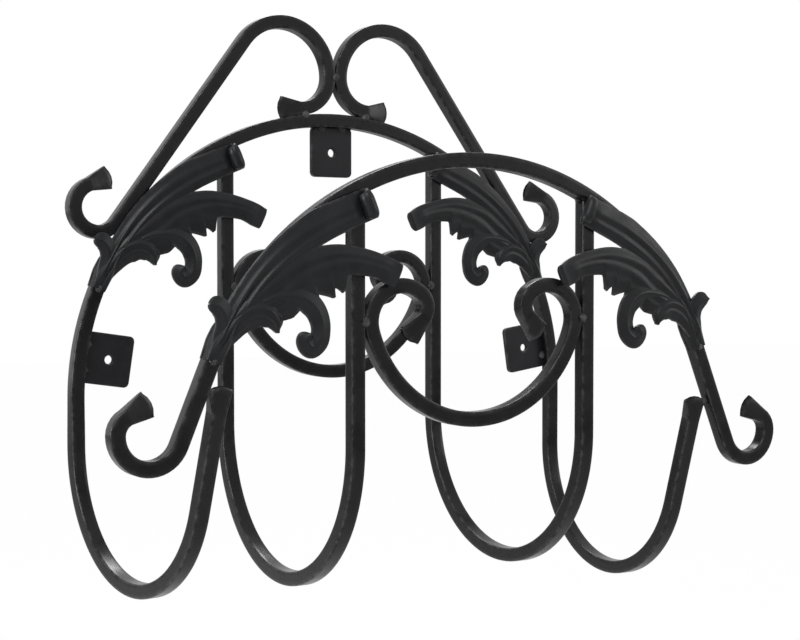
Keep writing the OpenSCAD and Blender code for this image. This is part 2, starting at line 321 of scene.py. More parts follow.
@dataclass(frozen=True)
class BarStock:
    """The square bar that the rack is bent from, and how its ends are flared.

    Args:
        side: Side of the square section.
        corner_r: Radius of the section's corners.
        tail_len: Length of a flared end.
        tail_w: Width of a flared end at its edge.
        tail_t: Thickness of a flared end at its edge.
        tail_rings: Number of rings along a flared end.
        tail_bevel: Share of the half thickness that is taken off around a flared end's edge.
        tail_set_back: How far the ring before the edge stands back from it.
        tail_sheen: Edge mask at a flared end's edge, for the painted highlight there.
        edge_angle: Half the angle of the arc that rounds a flared end's edge, in degrees.
        dent: Share of the thickness that the hammered unevenness takes.
        tail_dent: The same at a flared end's edge.
        pitch: Distance between rings on a bend.
    """

    side: float = 8 * MM
    corner_r: float = 0.9 * MM
    tail_len: float = 14 * MM
    tail_w: float = 14 * MM
    tail_t: float = 3 * MM
    tail_rings: int = 14
    tail_bevel: float = 0.3
    tail_set_back: float = 0.35 * MM
    tail_sheen: float = 0.7
    edge_angle: float = 30.0
    dent: float = 0.012
    tail_dent: float = 0.05
    pitch: float = 2.5 * MM

    def trace(self, start: Place, steps: Sequence[Step], flared: bool) -> Route:
        """Follows a list of steps in one plane.

        On a bend of radius r to the left, the centre lies r to the left of the start, and the
        bar's point is that centre plus r times (sin, -cos) of the heading there. A bend to the
        right is the same with the sign of r changed.

        Args:
            start: Where the bar starts, and its heading.
            steps: The stretches, in order.
            flared: True where a flared end follows the last step.

        Returns:
            The route in the plane, with depth along the third axis.
        """
        x, y, heading = [np.array([start.x])], [np.array([start.y])], [np.array([start.heading])]
        for step in steps:
            x0, y0, h0 = x[-1][-1], y[-1][-1], heading[-1][-1]
            if step.turn:
                turn = math.radians(step.turn)
                count = max(4, math.ceil(abs(turn) * step.size / self.pitch))
                h = h0 + turn * np.linspace(0, 1, count + 1)[1:]
                r = math.copysign(step.size, turn)
                x.append(x0 + r * (np.sin(h) - math.sin(h0)))
                y.append(y0 - r * (np.cos(h) - math.cos(h0)))
            else:
                count = max(2, math.ceil(step.size / (4 * self.pitch)))
                run = step.size * np.linspace(0, 1, count + 1)[1:]
                h = np.full(count, h0)
                x.append(x0 + run * math.cos(h0))
                y.append(y0 + run * math.sin(h0))
            heading.append(h)
        flare = [np.zeros(sum(map(len, x)))]
        if flared:
            share = np.linspace(0, 1, self.tail_rings + 1)[1:]
            x0, y0, h0 = x[-1][-1], y[-1][-1], heading[-1][-1]
            x.append(x0 + self.tail_len * share * math.cos(h0))
            y.append(y0 + self.tail_len * share * math.sin(h0))
            heading.append(np.full(len(share), h0))
            flare.append(share)
        xs, ys, h = np.concatenate(x), np.concatenate(y), np.concatenate(heading)
        zero, one = np.zeros_like(h), np.ones_like(h)
        return Route(
            place=np.stack([xs, ys, zero], axis=1),
            ahead=np.stack([np.cos(h), np.sin(h), zero], axis=1),
            width=np.stack([-np.sin(h), np.cos(h), zero], axis=1),
            depth=np.stack([zero, zero, one], axis=1),
            flare=np.concatenate(flare),
            way=one,
        )

    def flat_bar(
        self, middle: Place, ahead: Sequence[Step], behind: Sequence[Step],
        flared: tuple[bool, bool] = (True, True),
    ) -> Route:
        """A bar bent in one plane, from its middle towards both ends.

        Args:
            middle: A place on the bar, and its heading there.
            ahead: Steps from the middle onwards.
            behind: Steps from the middle the other way.
            flared: Whether the end ahead and the end behind are flared.

        Returns:
            The route from the end behind to the end ahead.
        """
        back = Place(middle.x, middle.y, middle.heading + math.pi)
        return self.trace(back, behind, flared[1]).reversed().then(
            self.trace(middle, ahead, flared[0]))

    def section(self) -> tuple[np.ndarray, np.ndarray, np.ndarray]:
        """A square with rounded corners, as two shares for each of its points.

        Returns:
            The share of the straight part of a side, the direction of the rounding, both as
            pairs, and the edge mask for the painted highlight, which is 1 on the corners.
        """
        turn = np.radians(np.linspace(0, 90, 5))
        arc = np.stack([np.cos(turn), np.sin(turn)], axis=1)
        quarter = np.array([[0.0, -1.0], [1.0, 0.0]])
        straight, rounding, mask = [], [], []
        corner = np.array([1.0, 1.0])
        for _ in range(4):
            straight += [np.tile(corner, (5, 1))]
            rounding += [arc]
            mask += [np.array([0.35, 0.8, 1.0, 0.8, 0.35])]
            far = quarter @ corner
            share = np.linspace(0, 1, 5)[1:-1, None]
            straight += [corner + (far - corner) * share]
            rounding += [np.tile(arc[-1], (3, 1))]
            mask += [np.zeros(3)]
            corner, arc = far, arc @ quarter.T
        return np.concatenate(straight), np.concatenate(rounding), np.concatenate(mask)

    def sweep(self, route: Route, seed: int) -> Shell:
        """Carries the rounded square along a route.

        A point of the section is its share of the flat side plus its part of the rounded corner,
        along the route's width and depth. In a flared end at share f, the half width grows by f
        of its growth, the half depth shrinks by f of its loss, and the point moves back by f
        times what the rounded edge cuts away there.

        Args:
            route: The bar's centre line.
            seed: Number that picks the hammered unevenness.

        Returns:
            The bar as a closed shell.
        """
        straight, rounding, mask = self.section()
        f = route.flare[:, None]
        half = self.side / 2
        ring = np.arange(len(mask))[None, :] * 2 * np.pi / len(mask)
        run = np.linspace(0, 1, len(f))[:, None] * 2 * np.pi
        at_edge = f >= 1
        dent = (1 - self.dent * ripple(run * 9, ring, seed)
                - self.tail_dent * f * ripple(run * 60, ring, seed + 1))
        width = (half + f * (self.tail_w / 2 - half)) * np.ones_like(ring)
        depth = half + f * (self.tail_t / 2 - half)
        corner = np.minimum(self.corner_r, 0.7 * depth)
        bevel = np.where(at_edge, self.tail_bevel * self.tail_t / 2, 0.0)
        across = straight[:, 0] * (width - corner) + rounding[:, 0] * corner
        up = (straight[:, 1] * (depth - corner) + rounding[:, 1] * corner) * dent
        up = up - np.sign(up) * np.minimum(np.abs(up), bevel)
        edge_r = self.tail_w / 2 / math.sin(math.radians(self.edge_angle))
        reach = np.clip(straight[:, 0] + rounding[:, 0] * 0.1, -1, 1) * self.tail_w / 2
        cut = edge_r - np.sqrt(edge_r**2 - reach**2)
        back = -(cut[None, :] + np.where(at_edge, 0.0, self.tail_set_back)) * f
        rings = (
            route.place[:, None, :]
            + across[..., None] * route.width[:, None, :]
            + up[..., None] * route.depth[:, None, :]
            + (back * route.way[:, None])[..., None] * route.ahead[:, None, :]
        )
        # Painted highlight: lighter paint on the section's corners and on a flared end's edge.
        edge = mask[None, :] + self.tail_sheen * smooth_step((f - 0.75) * 4)
        return Shell(rings, np.clip(edge, 0, 1) * np.ones_like(width))


@dataclass(frozen=True)
class Wall:
    """Where the two frames stand.

    Args:
        gap: Space between the wall and the bars.
        bar: Side of the square bar.
        arch_z: Height of the back arch's centre.
        frame_depth: Distance between the centre planes of the two frames.
        front_drop: How far the front arch lies below the back one.
    """

    gap: float = 0.5 * MM
    bar: float = 8 * MM
    arch_z: float = -22 * MM
    frame_depth: float = 160 * MM
    front_drop: float = 34 * MM

    def on_back(self, points: np.ndarray) -> np.ndarray:
        """Stands drawn points up in the back frame: (x, y, z) is (x, -z, y) plus its place."""
        lift = np.array([0.0, -self.gap - self.bar / 2, self.arch_z])
        return points[..., [0, 2, 1]] * np.array([1.0, -1.0, 1.0]) + lift

    def on_front(self, points: np.ndarray) -> np.ndarray:
        """The same for the front frame, which is lower and nearer."""
        return self.on_back(points) + np.array([0.0, -self.frame_depth, -self.front_drop])


@dataclass(frozen=True)
class RackSizes:
    """Sizes that several parts of the rack share.

    Args:
        arch_r: Radius of both arches, on the bar's centre line.
        right_end_drop: How much lower the end hook and the front leg hang on the right.
        front_leg_lean: Lean of the front arch's legs, in degrees.
        hook_x: Distance of a cradle hook from the middle.
        hook_leg: Straight stretch of a cradle hook below the arches' centres.
        end_hook_leg: Straight stretch between the back arch and an end hook.
        end_hook_rise: Straight stretch of an end hook, up to its tip.
        end_hook_lean: Lean of that stretch, in degrees.
    """

    arch_r: float = 166 * MM
    right_end_drop: float = 17 * MM
    front_leg_lean: float = 22.5
    hook_x: float = 73 * MM
    hook_leg: float = 17 * MM
    end_hook_leg: float = 26 * MM
    end_hook_rise: float = 68 * MM
    end_hook_lean: float = 18.0

    def end_drop(self, side: Side) -> float:
        """How much lower the bent end on a side hangs."""
        return self.right_end_drop if side is Side.RIGHT else 0.0


# ---------------------------------------------------------------- finishes

# Name of the point attribute that places the painted highlight along edges.
EDGE_MASK = "edge_mask"


def link(
    tree: bpy.types.NodeTree, source: bpy.types.NodeSocket, target: bpy.types.NodeSocket
) -> None:
    """Joins two sockets."""
    tree.links.new(source, target)


def new_group(
    name: str, inputs: dict[str, float], outputs: Sequence[str]
) -> tuple[bpy.types.NodeTree, bpy.types.Node, bpy.types.Node]:
    """Makes an empty shader node group with number sockets.

    Args:
        name: The group's name.
        inputs: Names and first values of the inputs.
        outputs: Names of the outputs.

    Returns:
        The group, its input node and its output node.
    """
    tree = bpy.data.node_groups.new(name, "ShaderNodeTree")
    for key, value in inputs.items():
        socket = tree.interface.new_socket(key, in_out="INPUT", socket_type="NodeSocketFloat")
        socket.default_value = value
    for key in outputs:
        tree.interface.new_socket(key, in_out="OUTPUT", socket_type="NodeSocketFloat")
    return tree, tree.nodes.new("NodeGroupInput"), tree.nodes.new("NodeGroupOutput")


def noise(tree: bpy.types.NodeTree, scale: float, detail: float) -> bpy.types.Node:
    """A noise texture on object coordinates.

    Args:
        tree: Where the nodes go.
        scale: Number of grains in a metre.
        detail: Number of finer layers.

    Returns:
        The noise node.
    """
    where = tree.nodes.new("ShaderNodeTexCoord")
    node = tree.nodes.new("ShaderNodeTexNoise")
    node.inputs["Scale"].default_value = scale
    node.inputs["Detail"].default_value = detail
    link(tree, where.outputs["Object"], node.inputs["Vector"])
    return node


def math_node(
    tree: bpy.types.NodeTree, kind: str, first: bpy.types.NodeSocket,
    second: bpy.types.NodeSocket | float,
) -> bpy.types.NodeSocket:
    """A sum, product or other operation on a socket and a socket or number.

    Args:
        tree: Where the node goes.
        kind: The operation.
        first: The first value.
        second: The second value, a socket or a number.

    Returns:
        The result's socket.
    """
    node = tree.nodes.new("ShaderNodeMath")
    node.operation = kind
    link(tree, first, node.inputs[0])
    if isinstance(second, bpy.types.NodeSocket):
        link(tree, second, node.inputs[1])
    else:
        node.inputs[1].default_value = second
    return node.outputs[0]


def paint_grain_group() -> bpy.types.NodeTree:
    """Fine stipple of sprayed paint over slow waves of uneven metal.

    Returns:
        A group with inputs Stipple and Waves, the heights of both, and outputs Height and
        Cloud, a slow variation from 0 to 1.
    """
    name = "paint_grain"
    if name in bpy.data.node_groups:
        return bpy.data.node_groups[name]
    tree, inside, outside = new_group(name, {"Stipple": 1.0, "Waves": 1.0}, ["Height", "Cloud"])
    fine = noise(tree, 1400.0, 2.0)
    slow = noise(tree, 90.0, 3.0)
    fine_height = math_node(tree, "MULTIPLY", fine.outputs["Fac"], inside.outputs["Stipple"])
    slow_height = math_node(tree, "MULTIPLY", slow.outputs["Fac"], inside.outputs["Waves"])
    link(tree, math_node(tree, "ADD", fine_height, slow_height), outside.inputs["Height"])
    link(tree, slow.outputs["Fac"], outside.inputs["Cloud"])
    return tree


def edge_sheen_group() -> bpy.types.NodeTree:
    """Where lighter paint along the edges stands in for highlights: a painted sheen.

    Returns:
        A group with the input Amount and one output, a mask for the painted highlight made of the
        edge mask, broken up by noise.
    """
    name = "edge_wear"
    if name in bpy.data.node_groups:
        return bpy.data.node_groups[name]
    tree, inside, outside = new_group(name, {"Amount": 0.5}, ["Worn"])
    # Painted highlight: the edge mask, broken up by noise, lightens the paint.
    mask = tree.nodes.new("ShaderNodeAttribute")
    mask.attribute_name = EDGE_MASK
    patches = noise(tree, 220.0, 4.0)
    spread = tree.nodes.new("ShaderNodeMapRange")
    spread.inputs["From Min"].default_value = 0.38
    spread.inputs["From Max"].default_value = 0.66
    link(tree, patches.outputs["Fac"], spread.inputs["Value"])
    broken = math_node(tree, "MULTIPLY", mask.outputs["Fac"], spread.outputs["Result"])
    worn = math_node(tree, "MULTIPLY", broken, inside.outputs["Amount"])
    link(tree, worn, outside.inputs["Worn"])
    return tree


@dataclass(frozen=True)
class PaintFinish:
    """Satin black paint on iron.

    Args:
        name: The material's name.
        colour: Colour of the paint.
        faded: Colour of the paint in its lighter clouds.
        sheen: Lighter colour painted along the edges as a highlight.
        roughness: Roughness of the paint, least and most.
        stipple: Share of the bump that is fine stipple.
        waves: Share of the bump that is slow waves.
        bump: Height of the bump.
        edge_sheen: How strongly the painted highlight lightens the edges, from 0 to 1.
        specular: Strength of the paint's shine.
    """

    name: str
    colour: tuple[float, float, float]
    faded: tuple[float, float, float]
    worn: tuple[float, float, float]
    roughness: tuple[float, float]
    stipple: float
    waves: float
    bump: float
    edge_sheen: float
    specular: float = 0.2

    def material(self) -> bpy.types.Material:
        """The finish as a material, made once.

        Returns:
            The material.
        """
        if self.name in bpy.data.materials:
            return bpy.data.materials[self.name]
        material = bpy.data.materials.new(self.name)
        material.use_nodes = True
        tree = material.node_tree
        paint = tree.nodes["Principled BSDF"]
        paint.inputs["Specular IOR Level"].default_value = self.specular
        grain = tree.nodes.new("ShaderNodeGroup")
        grain.node_tree = paint_grain_group()
        grain.inputs["Stipple"].default_value = self.stipple
        grain.inputs["Waves"].default_value = self.waves
        # Painted highlight: lighter paint along the edges, where the edge mask is high.
        edge_sheen = tree.nodes.new("ShaderNodeGroup")
        edge_sheen.node_tree = edge_sheen_group()
        edge_sheen.inputs["Amount"].default_value = self.edge_sheen
        clouds = self._mix(tree, grain.outputs["Cloud"], self.colour, self.faded)
        with_sheen = self._mix(tree, edge_sheen.outputs["Worn"], clouds, self.worn)
        link(tree, with_sheen, paint.inputs["Base Color"])
        rough = tree.nodes.new("ShaderNodeMapRange")
        rough.inputs["From Min"].default_value = 0.3
        rough.inputs["From Max"].default_value = 0.7
        rough.inputs["To Min"].default_value = self.roughness[0]
        rough.inputs["To Max"].default_value = self.roughness[1]
        link(tree, grain.outputs["Cloud"], rough.inputs["Value"])
        link(tree, rough.outputs["Result"], paint.inputs["Roughness"])
        bump = tree.nodes.new("ShaderNodeBump")
        bump.inputs["Strength"].default_value = 1.0
        bump.inputs["Distance"].default_value = self.bump
        link(tree, grain.outputs["Height"], bump.inputs["Height"])
        link(tree, bump.outputs["Normal"], paint.inputs["Normal"])
        return material

    def _mix(
        self, tree: bpy.types.NodeTree, share: bpy.types.NodeSocket,
        first: bpy.types.NodeSocket | tuple, second: bpy.types.NodeSocket | tuple,
    ) -> bpy.types.NodeSocket:
        """Blends two colours by a share.

        Args:
            tree: Where the node goes.
            share: Share of the second colour.
            first: The first colour, or the socket that gives it.
            second: The same for the second colour.

        Returns:
            The blended colour's socket.
        """
        node = tree.nodes.new("ShaderNodeMix")
        node.data_type = "RGBA"
        link(tree, share, node.inputs["Factor"])
        for socket, colour in ((node.inputs[6], first), (node.inputs[7], second)):
            if isinstance(colour, bpy.types.NodeSocket):
                link(tree, colour, socket)
            else:
                socket.default_value = (*colour, 1.0)
        return node.outputs[2]


# The third colour of each finish is a painted highlight laid along the edges.
BAR_PAINT = PaintFinish(
    name="satin_black_bar", colour=(0.003, 0.003, 0.0036), faded=(0.007, 0.007, 0.008),
    worn=(0.09, 0.09, 0.094), roughness=(0.2, 0.3), stipple=0.3, waves=0.7,
    bump=0.09 * MM, edge_sheen=0.45,
)
LEAF_PAINT = PaintFinish(
    name="satin_black_leaf", colour=(0.004, 0.0043, 0.005), faded=(0.012, 0.0125, 0.014),
    worn=(0.1, 0.1, 0.104), roughness=(0.3, 0.44), stipple=0.3, waves=0.7,
    bump=0.2 * MM, edge_sheen=0.35,
)
PLATE_PAINT = PaintFinish(
    name="satin_black_plate", colour=(0.005, 0.005, 0.006), faded=(0.011, 0.011, 0.013),
    worn=(0.09, 0.09, 0.094), roughness=(0.34, 0.46), stipple=0.4, waves=0.6,
    bump=0.2 * MM, edge_sheen=0.3,
)
WELD_PAINT = PaintFinish(
    name="satin_black_weld", colour=(0.008, 0.008, 0.009), faded=(0.03, 0.03, 0.032),
    worn=(0.15, 0.15, 0.155), roughness=(0.16, 0.4), stipple=0.3, waves=0.7,
    bump=0.6 * MM, edge_sheen=0.6,
)


# ---------------------------------------------------------------- sub-assemblies


def forge(node: str, shell: Shell, stand: Callable[[np.ndarray], np.ndarray]) -> None:
    """Stands a bent bar up in its frame and makes the piece that replaces its CAD node.

    Args:
        node: The CAD node's name.
        shell: The bar as drawn.
        stand: What stands drawn points up in a frame.
    """
    shell.rings = stand(shell.rings)
    build_piece(node + "_forged", [shell], BAR_PAINT, [node])


@dataclass
class Frames:
    """The two arched frames: the back arch with its end hooks, and the front arch."""

    wall: Wall = field(default_factory=Wall)
    stock: BarStock = field(default_factory=BarStock)
    sizes: RackSizes = field(default_factory=RackSizes)
    front_leg: float = 44 * MM
    front_curl_r: float = 16.5 * MM
    front_eye_r: float = 10 * MM
    front_eye_turn: float = 62.0

    def build(self) -> None:
        """Makes both bars."""
        back = self.back_half(Side.LEFT).mirrored().reversed().then(self.back_half(Side.RIGHT))
        front = self.front_half(Side.LEFT).mirrored().reversed().then(self.front_half(Side.RIGHT))
        for route, node, stand, seed in (
            (back, "back_arch_bar", self.wall.on_back, 11),
            (front, "front_arch_bar", self.wall.on_front, 23),
        ):
            forge(node, self.stock.sweep(route, seed), stand)

    def front_half(self, side: Side) -> Route:
        """Half of the front arch's bar, drawn on the right: arch, leg and curl.

        Args:
            side: The side whose leg length it takes.

        Returns:
            The route from the top of the arch to the curl's flared end.
        """
        lean = self.sizes.front_leg_lean
        leg = self.front_leg + self.sizes.end_drop(side) / math.cos(math.radians(lean))
        steps = [
            Step(self.sizes.arch_r, -(90 - lean)), Step(leg),
            Step(self.front_curl_r, 180 - lean), Step(self.front_eye_r, self.front_eye_turn),
        ]
        return self.stock.trace(Place(0, self.sizes.arch_r, 0), steps, True)

    def end_hook_r(self) -> float:
        """Radius of an end hook's bend, which follows from the depth that it spans."""
        lean = math.radians(self.sizes.end_hook_lean)
        depth = self.wall.frame_depth - self.sizes.end_hook_rise * math.sin(lean)
        return depth / (1 + math.cos(lean))

    def toe_in(self, side: Side) -> float:
        """Angle by which an end hook turns inwards to reach the front arch's leg.

        Its tip stands where half the flared edge meets the leg's inner face.

        Args:
            side: The hook's side.

        Returns:
            The angle in radians.
        """
        sizes = self.sizes
        hook_lean, leg_lean = math.radians(sizes.end_hook_lean), math.radians(sizes.front_leg_lean)
        tip_y = (sizes.end_hook_rise * math.cos(hook_lean) - sizes.end_hook_leg
                 - sizes.end_drop(side) - self.end_hook_r() * math.sin(hook_lean))
        top_x = sizes.arch_r * math.cos(leg_lean)
        top_y = sizes.arch_r * math.sin(leg_lean) - self.wall.front_drop
        inner_x = (top_x + (top_y - tip_y) * math.tan(leg_lean)
                   - self.stock.side / 2 / math.cos(leg_lean))
        return math.atan((sizes.arch_r - inner_x + self.stock.tail_w / 2) / self.wall.frame_depth)

    def back_half(self, side: Side) -> Route:
        """Half of the back arch's bar, drawn on the right: arch, leg and end hook.

        The hook is bent in a plane of its own, whose first axis points into the room, turned
        inwards by the toe-in. The leg twists into that plane along its length.

        Args:
            side: The side whose leg length it takes.

        Returns:
            The route from the top of the arch to the hook's flared tip.
        """
        sizes, toe_in, r = self.sizes, self.toe_in(side), self.end_hook_r()
        leg = sizes.end_hook_leg + sizes.end_drop(side)
        arch = self.stock.trace(Place(0, sizes.arch_r, 0), [Step(sizes.arch_r, -90)], False)
        shank = self.stock.trace(Place(sizes.arch_r, 0, -math.pi / 2), [Step(leg)], False)
        twist = toe_in * smooth_step(np.linspace(0, 1, len(shank.place)))[:, None]
        width, depth = shank.width, shank.depth
        shank.width = width * np.cos(twist) + depth * np.sin(twist)
        shank.depth = depth * np.cos(twist) - width * np.sin(twist)
        hook = self.stock.trace(
            Place(0, 0, -math.pi / 2),
            [Step(r, 180 - sizes.end_hook_lean), Step(sizes.end_hook_rise - self.stock.tail_len)],
            True,
        )
        out = np.array([-math.sin(toe_in), 0.0, math.cos(toe_in)])
        up = np.array([0.0, 1.0, 0.0])
        turn = np.stack([out, up, np.cross(out, up)])
        foot = np.array([sizes.arch_r, -leg, 0.0])
        bent = Route(hook.place @ turn + foot, hook.ahead @ turn, -hook.depth @ turn,
                     hook.width @ turn, hook.flare, hook.way)
        return arch.then(shank).then(bent)


@dataclass
class CradleHooks:
    """The two U-shaped hooks that join the frames and carry the bottles."""

    wall: Wall = field(default_factory=Wall)
    stock: BarStock = field(default_factory=BarStock)
    sizes: RackSizes = field(default_factory=RackSizes)
    bite: float = 1.2 * MM

    def build(self) -> None:
        """Makes both hooks, each from the underside of the back arch to that of the front one."""
        r = self.wall.frame_depth / 2
        inner_r = self.sizes.arch_r - self.stock.side / 2
        top = math.sqrt(inner_r**2 - self.sizes.hook_x**2) + self.bite
        back_leg = top + self.sizes.hook_leg
        route = self.stock.flat_bar(
            Place(r, -r, 0), [Step(r, 90), Step(back_leg - self.wall.front_drop)],
            [Step(r, -90), Step(back_leg)], flared=(False, False),
        )
        for side in Side:
            shell = self.stock.sweep(route, 31 + side.value)
            drawn = shell.rings
            x = side.value * self.sizes.hook_x + drawn[..., 2]
            shell.rings = np.stack(
                [x, drawn[..., 1] - self.sizes.hook_leg, drawn[..., 0]], axis=-1)
            forge(f"{side.name.lower()}_cradle_hook", shell, self.wall.on_back)


@dataclass
class Scrolls:
    """The C-scroll in each frame and the two crest scrolls on the back arch.

    Args:
        wall: Where the frames stand.
        stock: The bar.
        sizes: Sizes shared with the rest of the rack.
        rise: Height of the back C-scroll's lowest point above the arch's centre.
        drop: How far the front C-scroll's lowest point lies below the back one's.
        loop_rise: Height of the side loops' centres above the lowest point.
        loop_r: Radius of the side loops.
        loop_end: Angle of a loop beyond its outermost point, in degrees.
        eye_r: Radius of the last bend before a flared end.
        eye_turn: Angle of that bend, in degrees.
        ring_r: Radius of a crest scroll's ring.
        hook_r: Radius of the hook inside the ring, which ends on the arch.
        foot_r: Radius of the curl at a crest scroll's foot.
        foot_angle: Where the foot stands on the arch, in degrees above its centre.
        foot_heading: Direction in which the foot's curl ends, in degrees.
    """

    wall: Wall = field(default_factory=Wall)
    stock: BarStock = field(default_factory=BarStock)
    sizes: RackSizes = field(default_factory=RackSizes)
    rise: float = 11 * MM
    drop: float = 17 * MM
    loop_rise: float = 53 * MM
    loop_r: float = 18.5 * MM
    loop_end: float = 130.0
    eye_r: float = 9 * MM
    eye_turn: float = 90.0
    ring_r: float = 31.5 * MM
    hook_r: float = 20 * MM
    foot_r: float = 14 * MM
    foot_angle: float = 35.6
    foot_heading: float = 160.0

    def build(self) -> None:
        """Makes all four scrolls."""
        front_rise = self.rise - self.drop + self.wall.front_drop
        for node, stand, rise, seed in (
            ("back_c_scroll", self.wall.on_back, self.rise, 41),
            ("front_c_scroll", self.wall.on_front, front_rise, 43),
        ):
            shell = self.stock.sweep(self.c_scroll(), seed)
            shell.rings = shell.rings + np.array([0.0, rise, 0.0])
            forge(node, shell, stand)
        for side in Side:
            route = self.crest_scroll()
            route = route.mirrored() if side is Side.LEFT else route
            shell = self.stock.sweep(route, 47 + side.value)
            forge(f"{side.name.lower()}_crest_scroll", shell, self.wall.on_back)

    def c_scroll(self) -> Route:
        """A C-scroll around its lowest point.

        Its large arc touches the side loops inside, so its radius R follows from the loop's
        radius r and centre (x, h): x^2 + (R - h)^2 = (R - r)^2.

        Returns:
            The route from one flared end to the other.
        """
        half_w = self.sizes.hook_x - self.stock.side
        x = half_w - self.loop_r
        r = (x**2 + self.loop_rise**2 - self.loop_r**2) / (2 * (self.loop_rise - self.loop_r))
        start = math.degrees(math.asin((r - self.loop_rise) / (r - self.loop_r)))
        half = [Step(r, 90 - start), Step(self.loop_r, start + self.loop_end),
                Step(self.eye_r, self.eye_turn)]
        return self.stock.flat_bar(Place(0, 0, 0), half, [step.mirrored() for step in half])

    def crest_scroll(self) -> Route:
        """The right-hand crest scroll around the back arch's centre.

        Its ring touches the other scroll at the middle, its hook and its foot stand on the arch,
        and a straight stretch touches both the ring and the foot's curl on opposite sides.

        Returns:
            The route from the hook's flared end to the foot's.
        """
        half = self.stock.side / 2
        outer_r = self.sizes.arch_r + half
        top = math.sqrt((outer_r + half + self.hook_r) ** 2 - (half + self.hook_r) ** 2)
        angle, reach = math.radians(self.foot_angle), outer_r + half + self.foot_r
        run_x = reach * math.cos(angle) - half - self.ring_r
        run_y = reach * math.sin(angle) - top
        run, bends = math.hypot(run_x, run_y), self.ring_r + self.foot_r
        slope = math.degrees(math.asin(bends / run) - math.atan2(run_y, run_x))
        return self.stock.flat_bar(
            Place(half, top, math.pi / 2),
            [Step(self.ring_r, -(90 + slope)), Step(math.sqrt(run**2 - bends**2)),
             Step(self.foot_r, slope + self.foot_heading)],
            [Step(self.hook_r, 90)],
        )


@dataclass(frozen=True)
class Ridge:
    """A ridge pressed along a lobe.

    Args:
        across: Where it runs, from -1 at the right edge to 1 at the left one.
        spread: Its half width on the same scale.
        height: Its height, or its depth if negative.
    """

    across: float
    spread: float
    height: float


